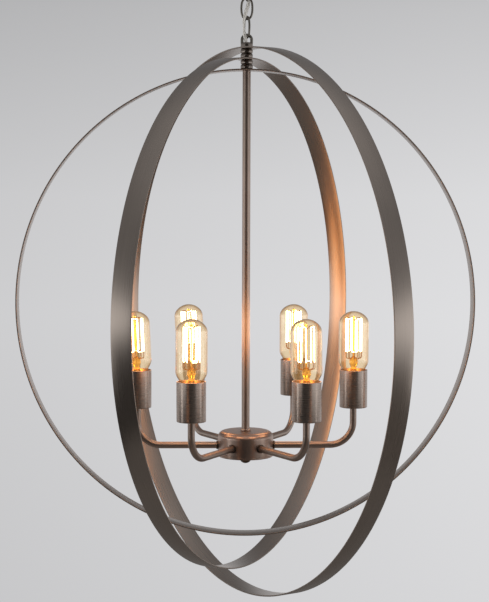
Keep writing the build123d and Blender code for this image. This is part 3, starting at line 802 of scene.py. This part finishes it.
# Bulbs
bulb = {
    "radius": 22.5, "length": 123.5, "crown": 19.0, "corner": 16.0, "shoulder": 23.0, "neck": 13.4,
    "neckTop": 26.5, "foot": 25.2, "wall": 0.9, "pivot": 16.0, "leans": (0.0, 0.0, -3.5, -2.5, 0.3, -0.8)}
cap = {"threadRadius": 12.1, "crest": 0.9, "turns": 4.5, "rise": 15.0, "threadLow": 7.5}
cage = {"radius": 11.8, "low": 63.0, "high": 112.5, "strands": 10, "wire": 0.55, "turn": 1.5}
hook = {"wire": 0.55, "bend": 0.8, "firstTurn": 18.0, "reach": 12.01}
glow = {  # amber light through the glass, the white heart of the strands, and the light caught in the neck
    "Lamp": {"power": 0.2, "colour": (1.0, 0.27, 0.02), "radius": 48, "height": 84},
    "Heart": {"power": 0.1, "colour": (1.0, 0.9, 0.58), "radius": 30, "height": 88},
    "Neck": {"power": 0.03, "colour": (1.0, 0.3, 0.04), "radius": 7, "height": 31},
}


def glassOutline(inset):  # neck, shoulder, straight side, rounded corner and flatter crown of the glass
    neck, side = bulb["neck"] - inset, bulb["radius"] - inset
    crown, corner = bulb["crown"] - inset, bulb["corner"] - inset
    sideHigh = bulb["length"] - bulb["crown"]
    line = [Vector((neck, bulb["foot"]))]
    for n in range(21):
        swell = (1 - cos(pi * n / 20)) / 2
        line.append(Vector((neck + (side - neck) * swell, bulb["neckTop"] + bulb["shoulder"] * n / 20)))
    drop = ((side - corner) ** 2 - (crown - corner) ** 2) / (2 * (crown - corner))
    lean = atan2(side - corner, drop)
    for n in range(15):
        turn = (pi / 2 - lean) * n / 14
        line.append(Vector((side - corner + corner * cos(turn), sideHigh + corner * sin(turn))))
    for n in range(1, 8):
        turn = lean * (1 - n / 8)
        line.append(Vector(((crown + drop) * sin(turn), sideHigh - drop + (crown + drop) * cos(turn))))
    return line + [Vector((0, sideHigh + crown))]


glassSection = glassOutline(0) + glassOutline(bulb["wall"])[::-1]
capShell = softOutline([(12.0, 6.0, 0.6), (12.4, 25.0, 0.2), (11.6, 25.0), (11.2, 6.6)])
capInsulate = softOutline([(0, 2.6), (5.2, 2.6, 0.5), (12.0, 5.0, 0.8), (12.0, 6.4), (0, 6.4)])
capPoint = softOutline([(0, 0), (4.6, 0, 1.8), (4.6, 2.8), (0, 2.8)])
mountOutline = [Vector(p) for p in (  # flared foot, waist, pinched head and thin rod of the glass mount
    (0, 27), (11.9, 27), (10.6, 29), (7.2, 32), (4.6, 36), (4.4, 40), (6.0, 43.5), (6.6, 47), (6.0, 50.5),
    (4.0, 53.5), (1.4, 56), (1.4, 113), (2.2, 114), (2.0, 115.5), (0, 116.5))]
strandPath = []  # one wire zigzags between the lower and the upper hooks
for n in range(cage["strands"]):
    turn = 2 * pi * n / cage["strands"]
    ends = (cage["low"], cage["high"]) if n % 2 == 0 else (cage["high"], cage["low"])
    strandPath += [(cage["radius"] * cos(turn), cage["radius"] * sin(turn), z) for z in ends]
out, back = hook["reach"], hook["reach"] - 1.6
hookPaths = {  # how many stand round the mount, and the way of the wire
    "Top": (5, [(1.2, 0, 109.5), (6.0, 0, 113.1), (out, 0, 113.4), (out, 0, 111.3)]),
    "Low": (10, [
        (5.0, 0, 51.5), (out - 1, 0, 53.2), (out, 0, 55), (out, 0, 63), (back, 0, 63), (back, 0, 65)])}
clearPieces = bpy.data.collections.new("clearPieces")  # the lamps would show as false lights in these


def shineThrough(piece):  # the lamps inside shine through the piece and stand for it in mirrors
    piece.visible_shadow = piece.visible_glossy = False


def addBulb(k):
    body, title = f"bulb_{k + 1}", f"bulb{k + 1}"
    about = Matrix.Rotation(radians(arms["first"] + arms["step"] * k), 4, "Z")
    foot = heights(f"{body}_cap")[0]
    pivot = Matrix.Translation((about @ atArmEnd).translation + Vector((0, 0, (foot + bulb["pivot"]) * mm)))
    # Each bulb sits a little aslant in its holder, as screwed in by hand
    aslant = pivot @ Matrix.Rotation(radians(bulb["leans"][k]), 4, "Y")
    place = aslant @ Matrix.Translation((0, 0, -bulb["pivot"] * mm)) @ about
    glassMesh = turnedMesh("bulbGlass", [(glassSection, 0)], around=80, place=place)
    glass = addPiece(title + "Glass", glassMesh, body, [f"{body}_glass"], [amberGlass])
    shineThrough(glass)
    clearPieces.objects.link(glass)
    capMesh = turnedMesh("bulbCap", [(capShell, 0), (capInsulate, 1), (capPoint, 2)], around=64)
    for material in (capNickel, capInsulator, solderTin):
        capMesh.materials.append(material)
    capMesh = grownMesh("bulbCap", screwThread, {
        "Thread Radius": cap["threadRadius"] * mm, "Crest": cap["crest"] * mm, "Turns": cap["turns"],
        "Rise": cap["rise"] * mm, "Low": cap["threadLow"] * mm, "Material": capNickel}, capMesh)
    capMesh.transform(place)
    addPiece(title + "Cap", capMesh, body, [f"{body}_cap"])
    strands = barMesh(
        "bulbStrands", pathMesh("strandPath", strandPath), cage["wire"], 8, litFilament, cage["turn"], 4)
    strands.transform(place)
    shineThrough(addPiece(title + "Strands", strands, body, [f"{body}_filament"]))
    mountMesh = turnedMesh("bulbMount", [(mountOutline, 0)], around=32, place=place)
    mount = addPiece(title + "Mount", mountMesh, body, [], [mountGlass])
    shineThrough(mount)
    clearPieces.objects.link(mount)
    for end, (count, path) in hookPaths.items():
        around = {
            **single, "Count": count, "First Turn": radians(hook["firstTurn"]), "Turn Step": 2 * pi / count}
        hooks = barMesh(
            "bulbHooks", pathMesh("hookPath", path), hook["wire"], 8, hookWire, hook["bend"], 4, around)
        hooks.transform(place)
        shineThrough(addPiece(title + "Hooks" + end, hooks, body, []))
    for part, shine in glow.items():
        lampData = bpy.data.lights.new(title + part, "POINT")
        lampData.energy = shine["power"]
        lampData.color = shine["colour"]
        lampData.shadow_soft_size = shine["radius"] * mm
        lamp = standObject(title + part, lampData)
        lamp.location = place @ Vector((0, 0, shine["height"] * mm))
        lamp.visible_camera = lamp.visible_transmission = False
        lamp.light_linking.receiver_collection = clearPieces
        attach(lamp, body)


for k in range(arms["count"]):
    addBulb(k)
for member in clearPieces.collection_objects:
    member.light_linking.link_state = "EXCLUDE"
print("bulbs lit")


# CAD parts that stay as they are get their finish here
for node, material in {
        "crossbar": zincSteel, "ceiling_nipple": zincSteel, "crossbar_nut": zincSteel,
        "top_nipple": zincSteel, "hub_nipple": zincSteel, "arm_nuts": zincSteel,
        "lampholders": mouldedHolder, "holder_contacts": brassSheet, "cord_in_stem": clearFlex}.items():
    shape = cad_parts[node].data
    shape.materials.clear()
    shape.materials.append(material)


# Studio: pale floor and surroundings, with a dark curtain behind the camera and a grey ground cloth that are
# painted shade, two long strips and two windows, all of which only the metal mirrors
studio = {"floor": -3300.0, "radius": 8000.0, "curtain": 3000.0, "clothLift": 10.0}


def paintedMesh(name, points, faces, paint, forReflections=False):
    # Flat paint or cloth with a faint unevenness, evenly lit; where a rightward share is given, the paint grows
    # lighter towards +X as painted light
    mesh = bpy.data.meshes.new(name)
    mesh.from_pydata([Vector(p) * mm for p in points], [], faces)
    mesh.shade_smooth()
    material = emptyMaterial(paint["name"])
    tree = material.node_tree
    spot = addNode(tree, "ShaderNodeTexCoord")
    along = addNode(tree, "ShaderNodeSeparateXYZ", {0: spot.outputs["Object"]})
    # Painted light: lighter towards +X by the given share
    rightwardPaintedLight = addNode(tree, "ShaderNodeMapRange", {
        "Value": along.outputs["X"], "From Min": -0.5, "From Max": 2.8,
        "To Max": paint.get("paintedLightRightward", 0.0)})
    wear = objectNoise(tree, 500, 2.0)
    share = solve(tree, "MULTIPLY_ADD", wear, 0.3, rightwardPaintedLight.outputs["Result"], clamped=True)
    closeMaterial(material, {"Base Color": toneBetween(tree, share, paint), "Roughness": 0.8})
    mesh.materials.append(material)
    item = standObject(name, mesh)
    if forReflections:
        item.visible_camera = item.visible_shadow = item.visible_transmission = item.visible_diffuse = False


def setRamp(node, stops):
    ramp = node.color_ramp
    while len(ramp.elements) < len(stops):
        ramp.elements.new(0.5)
    for element, (place, level) in zip(ramp.elements, stops):
        element.position = place
        element.color = (level, level, level, 1.0)


rim = [(studio["radius"] * cos(2 * pi * n / 96), studio["radius"] * sin(2 * pi * n / 96), studio["floor"])
       for n in range(96)]
paintedMesh("studioFloor", rim, [tuple(range(96))], {
    "name": "paleFloorPaint", "light": "#DAD8D5", "dark": "#D2D0CD"})
# Degrees to either side where the curtain ends, hangs full and has shrunk away, and heights of its edges
drape = {
    "half": 100, "full": 26, "gone": 40, "low": -950.0, "rightLow": -1150.0, "high": 900.0, "hemLift": 20.0}
hem = []
for n in range(81):
    side = drape["half"] * (n / 40 - 1)
    share = min(max((drape["gone"] - abs(side)) / (drape["gone"] - drape["full"]), 0), 1)
    low = drape["low"] if side < 0 else drape["rightLow"]
    x, y = studio["curtain"] * sin(radians(side)), -studio["curtain"] * cos(radians(side))
    hem += [(x, y, studio["floor"] + drape["hemLift"]), (x, y, low + (drape["high"] - low) * share)]
# Dark curtain seen only in the metal: painted shade of the room in front, its right side made lighter as
# painted light
paintedMesh("reflectedShadeCurtain", hem, [(2 * n, 2 * n + 2, 2 * n + 3, 2 * n + 1) for n in range(80)], {
    "name": "paintedShadeCurtainCloth", "light": "#76716C", "dark": "#161413", "paintedLightRightward": 1.0},
    forReflections=True)
# Grey cloth over the floor that only the metal mirrors: painted shade, so the pale floor looks darker in
# reflections
cloth = [(x * 0.99, y * 0.99, z + studio["clothLift"]) for x, y, z in rim]
paintedMesh("reflectedShadeGroundCloth", cloth, [tuple(range(96))], {
    "name": "reflectedShadeGroundCloth", "light": "#86827E", "dark": "#7E7A76"}, forReflections=True)

room = bpy.data.worlds.new("paleStudio")
scene.world = room
room.use_nodes = True
tree = room.node_tree
tree.nodes.clear()
way = addNode(tree, "ShaderNodeTexCoord")
parts = addNode(tree, "ShaderNodeSeparateXYZ", {0: way.outputs["Generated"]})
side = addNode(tree, "ShaderNodeMapRange", {
    "Value": parts.outputs["X"], "From Min": -0.165, "From Max": 0.165, "To Min": 0.63, "To Max": 0.75})
rise = addNode(tree, "ShaderNodeMapRange", {"Value": parts.outputs["Z"], "From Min": -1.0, "From Max": 1.0})
fall = addNode(tree, "ShaderNodeValToRGB", {0: rise.outputs["Result"]})
setRamp(fall, (  # from straight down to straight up: pale below the level, dark above it, paler overhead
    (0.0, 0.80), (0.35, 0.92), (0.46, 1.0), (0.50, 0.96), (0.565, 0.74), (0.60, 0.44), (0.66, 0.34),
    (0.80, 0.40), (0.93, 0.60), (1.0, 0.74)))
upward = addNode(tree, "ShaderNodeMapRange", {
    "Value": parts.outputs["Z"], "From Min": 0.3, "From Max": 0.5}, interpolation_type="SMOOTHSTEP")
# Darker above and behind, as the bands in the hoops' crown show it
behind = addNode(tree, "ShaderNodeMapRange", {
    "Value": parts.outputs["Y"], "From Min": 0.2, "From Max": 0.7, "To Max": -0.2})
behindAbove = solve(tree, "MULTIPLY", upward.outputs["Result"], behind.outputs["Result"])
dimming = solve(tree, "ADD", behindAbove, 1.0)
levelWall = solve(tree, "MULTIPLY", side.outputs[0], fall.outputs["Color"])
wall = solve(tree, "MULTIPLY", levelWall, dimming)
ray = addNode(tree, "ShaderNodeLightPath")
direct = solve(tree, "MAXIMUM", ray.outputs["Is Camera Ray"], ray.outputs["Is Transmission Ray"])
seen = solve(tree, "MAXIMUM", direct, ray.outputs["Is Glossy Ray"])
# Even where it only lights
level = addNode(tree, "ShaderNodeMix", {0: seen, 2: 0.8, 3: wall}, data_type="FLOAT")
sky = addNode(tree, "ShaderNodeBackground", {
    "Color": linearColour("#FDFDFF"), "Strength": level.outputs[0]})
addNode(tree, "ShaderNodeOutputWorld", {"Surface": sky.outputs[0]})

# The long strips give hoops, stem and arms their highlights, the windows give the cups theirs
for name, place, size, level in (
        ("softStripLeft", (-1700, -900, -505), (3.0, 0.4), 0.85),
        ("softStripRight", (1700, -700, -490), (3.0, 0.4), 0.65),
        ("windowLeft", (-1700, -590, -880), (0.26, 0.5), 2.2),
        ("windowRight", (1700, -400, -880), (0.26, 0.5), 1.2)):
    boxData = bpy.data.lights.new(name, "AREA")
    boxData.shape = "RECTANGLE"
    boxData.size, boxData.size_y = size
    boxData.energy = level * pi * size[0] * size[1]
    softBox = standObject(name, boxData)
    softBox.location = Vector(place) * mm
    softBox.rotation_euler = Vector((-place[0], 0, 0)).to_track_quat("-Z", "Y").to_euler()
    softBox.visible_camera = False
print("studio lit")
